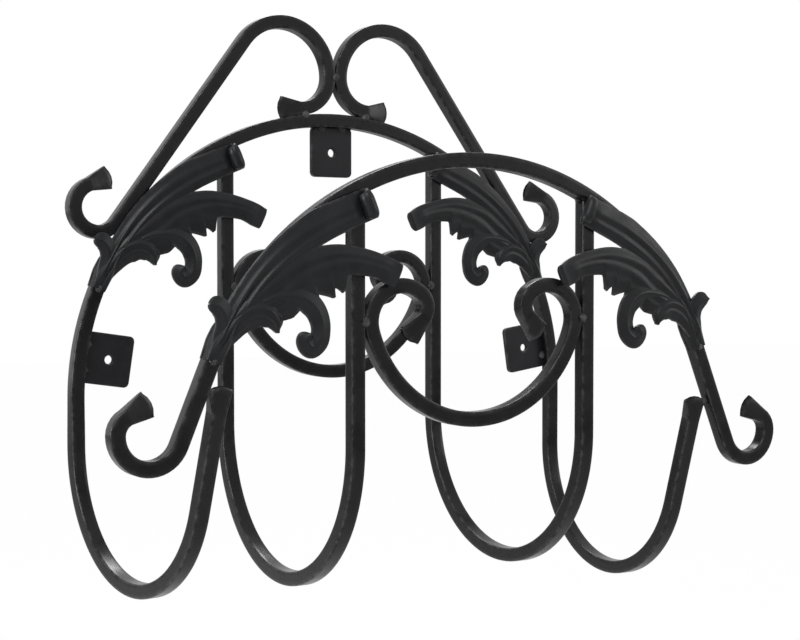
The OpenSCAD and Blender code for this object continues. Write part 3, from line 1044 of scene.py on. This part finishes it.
@dataclass(frozen=True)
class Lobe:
    """One lobe of a pressed leaf, in millimetres around the arch's centre.

    Args:
        spine: Rows of x, y and lift towards the room, from the stem to the tip.
        left: Pairs of a place along the spine, from 0 to 1, and the width left of it there.
        right: The same for its right side.
        ridges: Ridges pressed along the lobe.
        dome: How much the middle stands above the edges.
        round_from: Place along the spine from which the tip is rounded off, 1 for none.
        rolled: Radius of the roll at the tip: positive towards the room, negative towards the
            wall, 0 for none.
        wrap: Depth by which the stem's sides wrap the bar.
        fade: How much the ridges fade towards the tip, where (1 - fade) squared is left.
        pinched: Share of the roll's size that is gone at its two ends.
        thickness: Thickness of the sheet.
        rows: Number of rows of points along the spine.
        columns: Number of points across the front.
        roll_turn: Angle of the roll, in degrees.
        roll_rows: Number of rows of points around the roll.
    """

    spine: tuple[tuple[float, float, float], ...]
    left: tuple[tuple[float, float], ...]
    right: tuple[tuple[float, float], ...]
    ridges: tuple[Ridge, ...] = ()
    dome: float = 0.8
    round_from: float = 1.0
    rolled: float = 0.0
    wrap: float = 0.0
    fade: float = 0.0
    pinched: float = 0.45
    thickness: float = 1.3
    rows: int = 90
    columns: int = 25
    roll_turn: float = 290.0
    roll_rows: int = 25

    def shell(self) -> Shell:
        """The lobe as a closed shell.

        A point at share u along the spine and v across it, from -1 to 1, is the spine's point,
        plus v times the width on that side along the left direction, plus the relief along the
        direction towards the room. The relief is dome times (1 - v squared), plus for each ridge
        its height times exp of minus the square of (v - across) / spread. The back lies one
        thickness behind the front. In the roll at angle p, the spine's point moves on by
        r sin p, and out by r (1 - cos p), less at the edges by pinched times v to the fourth.

        Returns:
            The shell in millimetres, drawn around the arch's centre.
        """
        place = through(np.array(self.spine), self.rows)
        u = np.linspace(0, 1, self.rows)
        slope = np.gradient(place[:, :2], axis=0)
        ahead = slope / np.linalg.norm(slope, axis=1, keepdims=True)
        left_w = np.interp(u, *zip(*self.left))
        right_w = np.interp(u, *zip(*self.right))
        if self.round_from < 1:
            past = np.clip((u - self.round_from) / (1 - self.round_from), 0, 1)
            taper = np.sqrt(np.clip(1 - past**2, 0.004, 1))
            left_w, right_w = left_w * taper, right_w * taper
        forward = np.column_stack([ahead, np.zeros(self.rows)])
        out = np.tile([0.0, 0.0, 1.0], (self.rows, 1))
        pinch = np.zeros_like(place)
        ease = smooth_step(u / 0.15) * (smooth_step((1 - u) / 0.12) if self.rolled else 1)
        if self.rolled:
            angle = np.radians(np.linspace(0, self.roll_turn, self.roll_rows + 1))[1:, None]
            way, shrink = math.copysign(1, self.rolled), 1 - 0.25 * angle / angle[-1]
            curl = forward[-1] * np.sin(angle) + way * out[-1] * (1 - np.cos(angle))
            curl = curl * shrink * abs(self.rolled)
            place = np.vstack([place, place[-1] + curl])
            pinch = np.vstack([pinch, -self.pinched * curl])
            out = np.vstack([out, out[-1] * np.cos(angle) - way * forward[-1] * np.sin(angle)])
            forward = np.vstack([forward, np.tile(forward[-1], (len(angle), 1))])
            narrow = (1 - 0.3 * (angle / angle[-1]) ** 2)[:, 0]
            left_w = np.concatenate([left_w, left_w[-1] * narrow])
            right_w = np.concatenate([right_w, right_w[-1] * narrow])
            ease = np.concatenate([ease, np.zeros(len(angle))])
            u = np.concatenate([u, np.ones(len(angle))])
        side = np.column_stack([-forward[:, 1], forward[:, 0], np.zeros(len(forward))])
        v = np.linspace(-1, 1, self.columns)[None, :]
        across = np.where(v > 0, v * left_w[:, None], v * right_w[:, None])
        relief = self.dome * (1 - v**2) * ease[:, None]
        for ridge in self.ridges:
            shape = np.exp(-(((v - ridge.across) / ridge.spread) ** 2))
            relief = relief + ridge.height * shape * (ease * (1 - self.fade * u) ** 2)[:, None]
        if self.wrap:
            hold = 1 - smooth_step((u - 0.16) / 0.1)[:, None]
            relief = relief - self.wrap * hold * smooth_step((np.abs(v) - 0.72) / 0.2)
        front = (place[:, None, :] + across[..., None] * side[:, None, :]
                 + relief[..., None] * out[:, None, :]
                 + (v**4)[..., None] * pinch[:, None, :])
        back = front - self.thickness * out[:, None, :]
        rings = np.concatenate([front, back[:, ::-1]], axis=1)
        # Painted highlight along the lobe's two edges.
        mask = smooth_step((np.abs(v) - 0.82) / 0.18) * np.ones_like(front[..., 0])
        return Shell(rings, np.concatenate([mask, mask[:, ::-1]], axis=1))


def on_arc(
    centre: tuple[float, float], r: float, angle: float, lift: float
) -> tuple[float, float, float]:
    """A spine's row on a circle.

    Args:
        centre: The circle's centre.
        r: Its radius.
        angle: The row's angle in degrees.
        lift: Its lift towards the room.

    Returns:
        The row's x, y and lift.
    """
    turn = math.radians(angle)
    return centre[0] + r * math.cos(turn), centre[1] + r * math.sin(turn), lift


@dataclass
class Leaves:
    """The four pressed leaves that cover the joints of the frames."""

    wall: Wall = field(default_factory=Wall)
    across_centre: tuple[float, float] = (80.0, 60.1)
    across_r: float = 52.0

    def reach(self, angle: float, lift: float) -> tuple[float, float, float]:
        """A row on the circle that the lobe across the hook follows."""
        return on_arc(self.across_centre, self.across_r, angle, lift)

    def lobes(self) -> list[Lobe]:
        """The lobes of a right-hand leaf.

        Returns:
            The spine along the arch, the lobe across the hook, the one that curls down, the
            leaflet on the inner side and the curl on the outer side.
        """
        along = Lobe(
            spine=tuple(on_arc((0, 0), r, a, lift) for r, a, lift in (
                (166, 22.2, 1.4), (166, 27, 1.4), (166, 32, 1.6), (165.2, 39, 2.0),
                (163, 46, 2.4), (160, 53, 2.4), (157.2, 59, 2.2), (155.8, 63.5, 2.6))),
            left=((0, 5.2), (0.1, 6.1), (0.25, 5.6), (0.45, 6.5), (0.7, 7.4), (1, 7.0)),
            right=((0, 5.2), (0.1, 6.1), (0.25, 5.6), (0.45, 7.6), (0.7, 10.4), (1, 9.6)),
            ridges=(Ridge(0.4, 0.2, 2.1), Ridge(-0.34, 0.2, 2.0), Ridge(0.03, 0.14, -0.7)),
            dome=1.1, rolled=2.9, wrap=5.6, fade=0.7,
        )
        across = Lobe(
            spine=((150.0, 71.5, 0.8), (137.0, 84.5, 1.6), *(
                self.reach(angle, lift) for angle, lift in (
                    (43, 2.0), (60, 2.2), (78, 2.6), (92, 3.0), (108, 3.8), (121, 5.2)))),
            left=((0, 3.0), (0.14, 6.5), (0.28, 13.5), (0.35, 12.0), (0.44, 18.4), (0.455, 18.0),
                  (0.46, 12.6), (0.54, 17.6), (0.56, 17.2), (0.565, 12.4), (0.63, 16.2),
                  (0.665, 15.0), (0.68, 7.4), (0.85, 6.2), (0.95, 6.8), (1, 6.4)),
            right=((0, 3.0), (0.14, 8.0), (0.28, 13.5), (0.43, 12.0), (0.57, 9.4), (0.72, 7.6),
                   (0.86, 6.6), (0.95, 6.8), (1, 6.4)),
            ridges=(Ridge(-0.5, 0.22, 1.6), Ridge(0.08, 0.18, 0.9), Ridge(0.55, 0.16, 0.7),
                    Ridge(-0.16, 0.12, -0.5)),
            dome=1.1, rolled=-2.6, fade=0.8, rows=150,
        )
        down = Lobe(
            spine=((140.0, 82.0, 0.6), (129.0, 91.0, 1.2), (117.5, 94.5, 1.8), (107.0, 94.0, 2.4),
                   (99.5, 88.5, 2.8), (96.3, 80.5, 3.2), (97.4, 72.8, 3.6), (102.2, 69.4, 4.0),
                   (105.4, 72.4, 4.4), (103.2, 76.2, 4.6)),
            left=((0, 3.0), (0.2, 5.0), (0.4, 6.5), (0.6, 5.4), (0.78, 5.2), (0.9, 4.6), (1, 3.6)),
            right=((0, 3.0), (0.2, 5.5), (0.4, 5.6), (0.6, 5.0), (0.78, 6.0), (0.9, 5.2), (1, 3.6)),
            ridges=(Ridge(0.0, 0.35, 0.7),), dome=1.5, round_from=0.92,
        )
        inner = Lobe(
            spine=((152.5, 65.5, 0.6), (145.0, 76.5, 1.4), (137.5, 84.0, 1.8), (129.0, 86.5, 2.2),
                   (122.5, 82.5, 2.4), (120.0, 76.5, 2.0)),
            left=((0, 2.5), (0.2, 5.0), (0.45, 7.5), (0.7, 6.6), (0.88, 3.6), (1, 0.5)),
            right=((0, 3.0), (0.2, 5.5), (0.45, 7.0), (0.7, 7.2), (0.88, 4.4), (1, 0.5)),
            ridges=(Ridge(-0.35, 0.25, 0.8), Ridge(0.35, 0.2, 0.5)), dome=1.5,
        )
        outer = Lobe(
            spine=((154.0, 64.0, 0.4), (150.2, 73.0, 1.2), (148.2, 80.0, 1.8), (149.0, 86.0, 2.4),
                   (152.2, 90.0, 2.8), (157.2, 91.2, 3.2)),
            left=((0, 3.4), (0.3, 5.0), (0.6, 5.2), (0.8, 5.2), (1, 4.8)),
            right=((0, 3.0), (0.3, 4.8), (0.6, 4.8), (0.8, 4.8), (1, 4.8)),
            ridges=(Ridge(0.0, 0.35, 0.6),), dome=1.2, round_from=0.78,
        )
        return [along, across, down, inner, outer]

    def build(self) -> None:
        """Makes the four leaves, mirrored on the left and lowered on the front frame."""
        bar_front = self.wall.bar / 2
        shells = [lobe.shell() for lobe in self.lobes()]
        for stand, frame_name in ((self.wall.on_back, "back"), (self.wall.on_front, "front")):
            for side in Side:
                turned = np.array([side.value, 1.0, 1.0]) * MM
                placed = [
                    Shell(stand(shell.rings * turned + np.array([0, 0, bar_front])), shell.edge)
                    for shell in shells
                ]
                node = f"{frame_name}_{side.name.lower()}_leaf"
                build_piece(node + "_pressed", placed, LEAF_PAINT, [node])


@dataclass
class WallPlates:
    """The three plates that take the wall screws.

    Args:
        width: Width of a plate.
        height: Height of a plate.
        thickness: Thickness of a plate.
        corner_r: Radius of its corners.
        hole_r: Radius of its screw hole.
        bevel: How much its edges are broken.
        side_tilt: Turn of the side plates, which follow the arch, in degrees.
        seat: How far the welded edge runs into the arch's bar.
        points: Number of points in a ring.
    """

    width: float = 28 * MM
    height: float = 30 * MM
    thickness: float = 3 * MM
    corner_r: float = 3 * MM
    hole_r: float = 2.5 * MM
    bevel: float = 0.4 * MM
    side_tilt: float = 8.59
    seat: float = 1.2 * MM
    points: int = 96

    def build(self) -> None:
        """Makes each plate in the middle of its CAD node's box."""
        for node, tilt, welded in (("top_wall_plate", 0.0, (0.0, 1.0)),
                                   ("left_wall_plate", -self.side_tilt, (-1.0, 0.0)),
                                   ("right_wall_plate", self.side_tilt, (1.0, 0.0))):
            low, high = (np.array(corner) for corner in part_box(node))
            centre = (low + high) / 2
            shell = self.plate(math.radians(tilt), np.array(welded))
            shell.rings = shell.rings + np.array([centre[0], high[1], centre[2]])
            build_piece(node + "_drilled", [shell], PLATE_PAINT, [node])

    def plate(self, tilt: float, welded: np.ndarray) -> Shell:
        """A plate around its hole, with its back at zero depth.

        The outline at an angle is where a ray from the middle meets the rectangle. Near a
        corner, that point is drawn in to the corner's arc. The edge on the welded side moves out
        by the seat, into the arch's bar. The shell runs up the hole's wall, over the front, down
        the outer edge and back under the plate to the hole.

        Args:
            tilt: Turn of the plate in its own plane, in radians.
            welded: Direction in the plate's plane in which it meets the arch.

        Returns:
            The plate as a looped shell.
        """
        angle = np.linspace(0, 2 * np.pi, self.points, endpoint=False)
        ray = np.stack([np.cos(angle), np.sin(angle)], axis=1)
        half = np.array([self.width, self.height]) / 2
        outline = ray * np.min(half / np.maximum(np.abs(ray), 1e-9), axis=1, keepdims=True)
        core = np.clip(outline, -(half - self.corner_r), half - self.corner_r)
        past = outline - core
        outline = core + past * np.minimum(
            1, self.corner_r / np.maximum(np.linalg.norm(past, axis=1, keepdims=True), 1e-9))
        hole = ray * self.hole_r
        shrink = 1 - self.bevel / half
        # Each row: outline, depth, and its share of painted highlight on the plate's edges.
        rows = (
            (hole, 0.0, 0.0), (hole, self.thickness - self.bevel, 0.4),
            (ray * (self.hole_r + self.bevel), self.thickness, 0.8),
            (ray * (self.hole_r + 3 * self.bevel), self.thickness, 0.0),
            (outline * (1 - 3 * self.bevel / half), self.thickness, 0.0),
            (outline * shrink, self.thickness, 0.6),
            (outline, self.thickness - self.bevel, 1.0), (outline, 0.0, 0.6),
        )
        cos, sin = math.cos(tilt), math.sin(tilt)
        flat = np.stack([row for row, _, _ in rows])
        depth = np.array([row for _, row, _ in rows])[:, None] * np.ones((1, self.points))
        near = smooth_step((flat @ welded) / (half @ np.abs(welded)) * 2 - 1)
        flat = flat + self.seat * near[..., None] * welded
        rings = np.stack([flat[..., 0] * cos - flat[..., 1] * sin, -depth,
                          flat[..., 0] * sin + flat[..., 1] * cos], axis=-1)
        edge = np.array([mask for _, _, mask in rows])[:, None] * np.ones((1, self.points))
        return Shell(rings, edge, looped=True)


@dataclass
class Welds:
    """Lumps of weld metal where the bars, plates and leaves meet."""

    nodes: tuple[str, ...] = (
        "crest_weld_beads", "hook_top_weld_beads", "hook_tip_weld_beads",
        "scroll_weld_beads", "plate_weld_beads", "leaf_weld_beads",
    )
    bead_r: float = 3 * MM
    flattening: float = 0.7

    def build(self) -> None:
        """Makes the beads of each group, one lump at each place that the CAD node marks."""
        for number, node in enumerate(self.nodes):
            lumps = [
                self.lump(centre, 61 + 7 * number + place)
                for place, centre in enumerate(self.centres(node))
            ]
            build_piece(node + "_run", lumps, WELD_PAINT, [node])

    def centres(self, node: str) -> list[np.ndarray]:
        """Middles of the separate balls in a CAD node.

        Args:
            node: The node's name.

        Returns:
            One point for each ball.
        """
        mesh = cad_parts[node].data
        points = np.empty(len(mesh.vertices) * 3)
        mesh.vertices.foreach_get("co", points)
        points, found = points.reshape(-1, 3), []
        while len(points):
            near = np.linalg.norm(points - points[0], axis=1) < 2.1 * self.bead_r
            ball = points[near]
            found.append((ball.min(axis=0) + ball.max(axis=0)) / 2)
            points = points[~near]
        return found

    def lump(self, centre: np.ndarray, seed: int) -> Shell:
        """An uneven lump of weld metal.

        Its point at longitude a and latitude b lies at the bead's radius times 0.62 to 1, by the
        ripple there, in the direction (cos b cos a, cos b sin a, sin b), and its depth along the
        second axis is then reduced by the flattening.

        Args:
            centre: Its middle.
            seed: Number that picks its unevenness.

        Returns:
            The lump as a closed shell.
        """
        latitude = np.radians(np.linspace(-88, 88, 21))[:, None]
        longitude = np.linspace(0, 2 * np.pi, 28, endpoint=False)[None, :]
        radius = self.bead_r * (0.62 + 0.38 * ripple(longitude, 2 * latitude, seed))
        rings = centre + np.stack([
            radius * np.cos(latitude) * np.cos(longitude),
            radius * np.cos(latitude) * np.sin(longitude) * self.flattening,
            radius * np.sin(latitude) * np.ones_like(longitude),
        ], axis=-1)
        # Painted highlight at half strength all over the lump.
        return Shell(rings, np.ones(rings.shape[:2]) * 0.5)


# ---------------------------------------------------------------- studio


@dataclass
class Studio:
    """Camera, lamps, floor and white surroundings.

    Args:
        azimuth: Turn of the camera around the target, in degrees, negative to the left.
        elevation: Angle of the camera above the target, in degrees.
        distance: Distance of the camera from the target.
        target: Point that the camera and the lamps look at.
        sensor: Width of the camera's sensor in millimetres.
        lens: Focal length in millimetres.
        floor_half: Half the side of the floor.
        floor_drop: How far the floor lies below the rack.
        floor_glow: Share of plain white in the floor that the camera sees.
        sky: Strength of the surroundings as a light on the rack.
    """

    azimuth: float = -30.61
    elevation: float = 1.74
    distance: float = 1.005
    target: tuple[float, float, float] = (0.0482, -0.0045, 0.0200)
    sensor: float = 36.0
    lens: float = 70.965
    floor_half: float = 6.0
    floor_drop: float = 0.22
    floor_glow: float = 0.985
    sky: float = 0.3

    def build(self) -> None:
        """Sets up everything around the rack."""
        self.camera()
        self.floor()
        self.surroundings()
        self.lamp("key_lamp", (-0.9, -1.3, 1.5), 0.7, 22.0)
        self.lamp("side_lamp", (-1.5, -0.1, 0.2), 0.5, 16.0)
        self.lamp("fill_lamp", (1.4, -1.2, 0.5), 0.6, 5.0)
        self.lamp("back_lamp", (0.3, 0.9, 1.3), 0.6, 14.0)
        bpy.context.scene.view_settings.view_transform = "Standard"

    def camera(self) -> None:
        """Places the camera around the target by its azimuth, elevation and distance."""
        data = bpy.data.cameras.new("camera")
        data.sensor_width = self.sensor
        data.lens = self.lens
        data.clip_start = 0.01
        camera = bpy.data.objects.new("camera", data)
        bpy.context.scene.collection.objects.link(camera)
        turn, rise = math.radians(self.azimuth), math.radians(self.elevation)
        away = Vector((math.sin(turn) * math.cos(rise), -math.cos(turn) * math.cos(rise),
                       math.sin(rise)))
        camera.location = Vector(self.target) + self.distance * away
        camera.rotation_euler = (-away).to_track_quat("-Z", "Y").to_euler()
        bpy.context.scene.camera = camera

    def lamp(self, name: str, place: tuple[float, float, float], size: float, power: float) -> None:
        """Adds a soft square lamp that points at the rack.

        Args:
            name: The lamp's name.
            place: Where it stands.
            size: Its side.
            power: Its power in watts.
        """
        data = bpy.data.lights.new(name, "AREA")
        data.shape, data.size, data.energy = "SQUARE", size, power
        lamp = bpy.data.objects.new(name, data)
        bpy.context.scene.collection.objects.link(lamp)
        lamp.location = place
        aim = Vector(self.target) - Vector(place)
        lamp.rotation_euler = aim.to_track_quat("-Z", "Y").to_euler()

    def floor(self) -> None:
        """Adds a wide pale floor below the rack, white to the camera but for the rack's shadow."""
        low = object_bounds()[0][2] - self.floor_drop
        mesh = bpy.data.meshes.new("studio_floor")
        half = self.floor_half
        corners = [(x * half, y * half, low) for x, y in ((-1, -1), (1, -1), (1, 1), (-1, 1))]
        mesh.from_pydata(corners, [], [(0, 1, 2, 3)])
        floor = bpy.data.objects.new("studio_floor", mesh)
        bpy.context.scene.collection.objects.link(floor)
        material = bpy.data.materials.new("pale_floor")
        material.use_nodes = True
        tree = material.node_tree
        matt = tree.nodes["Principled BSDF"]
        matt.inputs["Base Color"].default_value = (0.9, 0.9, 0.9, 1)
        matt.inputs["Roughness"].default_value = 0.9
        glow = tree.nodes.new("ShaderNodeEmission")
        mix = tree.nodes.new("ShaderNodeMixShader")
        path = tree.nodes.new("ShaderNodeLightPath")
        seen = math_node(tree, "MULTIPLY", path.outputs["Is Camera Ray"], self.floor_glow)
        link(tree, seen, mix.inputs[0])
        link(tree, matt.outputs[0], mix.inputs[1])
        link(tree, glow.outputs[0], mix.inputs[2])
        link(tree, mix.outputs[0], tree.nodes["Material Output"].inputs["Surface"])
        mesh.materials.append(material)
        floor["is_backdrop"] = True

    def surroundings(self) -> None:
        """White to the camera and in reflections, and dimmer as a light on the rack."""
        world = bpy.data.worlds.new("white_room")
        bpy.context.scene.world = world
        world.use_nodes = True
        tree = world.node_tree
        sky = tree.nodes["Background"]
        path = tree.nodes.new("ShaderNodeLightPath")
        seen = math_node(
            tree, "MAXIMUM", path.outputs["Is Camera Ray"], path.outputs["Is Glossy Ray"])
        seen = math_node(tree, "MAXIMUM", seen, path.outputs["Is Transmission Ray"])
        strength = tree.nodes.new("ShaderNodeMapRange")
        strength.inputs["To Min"].default_value = self.sky
        strength.inputs["To Max"].default_value = 1.0
        link(tree, seen, strength.inputs["Value"])
        link(tree, strength.outputs["Result"], sky.inputs["Strength"])
        sky.inputs["Color"].default_value = (1, 1, 1, 1)


def main() -> None:
    """Builds the rack's looks and the studio around it."""
    logging.basicConfig(level=logging.INFO, format="%(name)s: %(message)s")
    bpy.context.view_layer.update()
    for part in (Frames(), CradleHooks(), Scrolls(), Leaves(), WallPlates(), Welds(), Studio()):
        part.build()


if __name__ == "__main__":
    main()
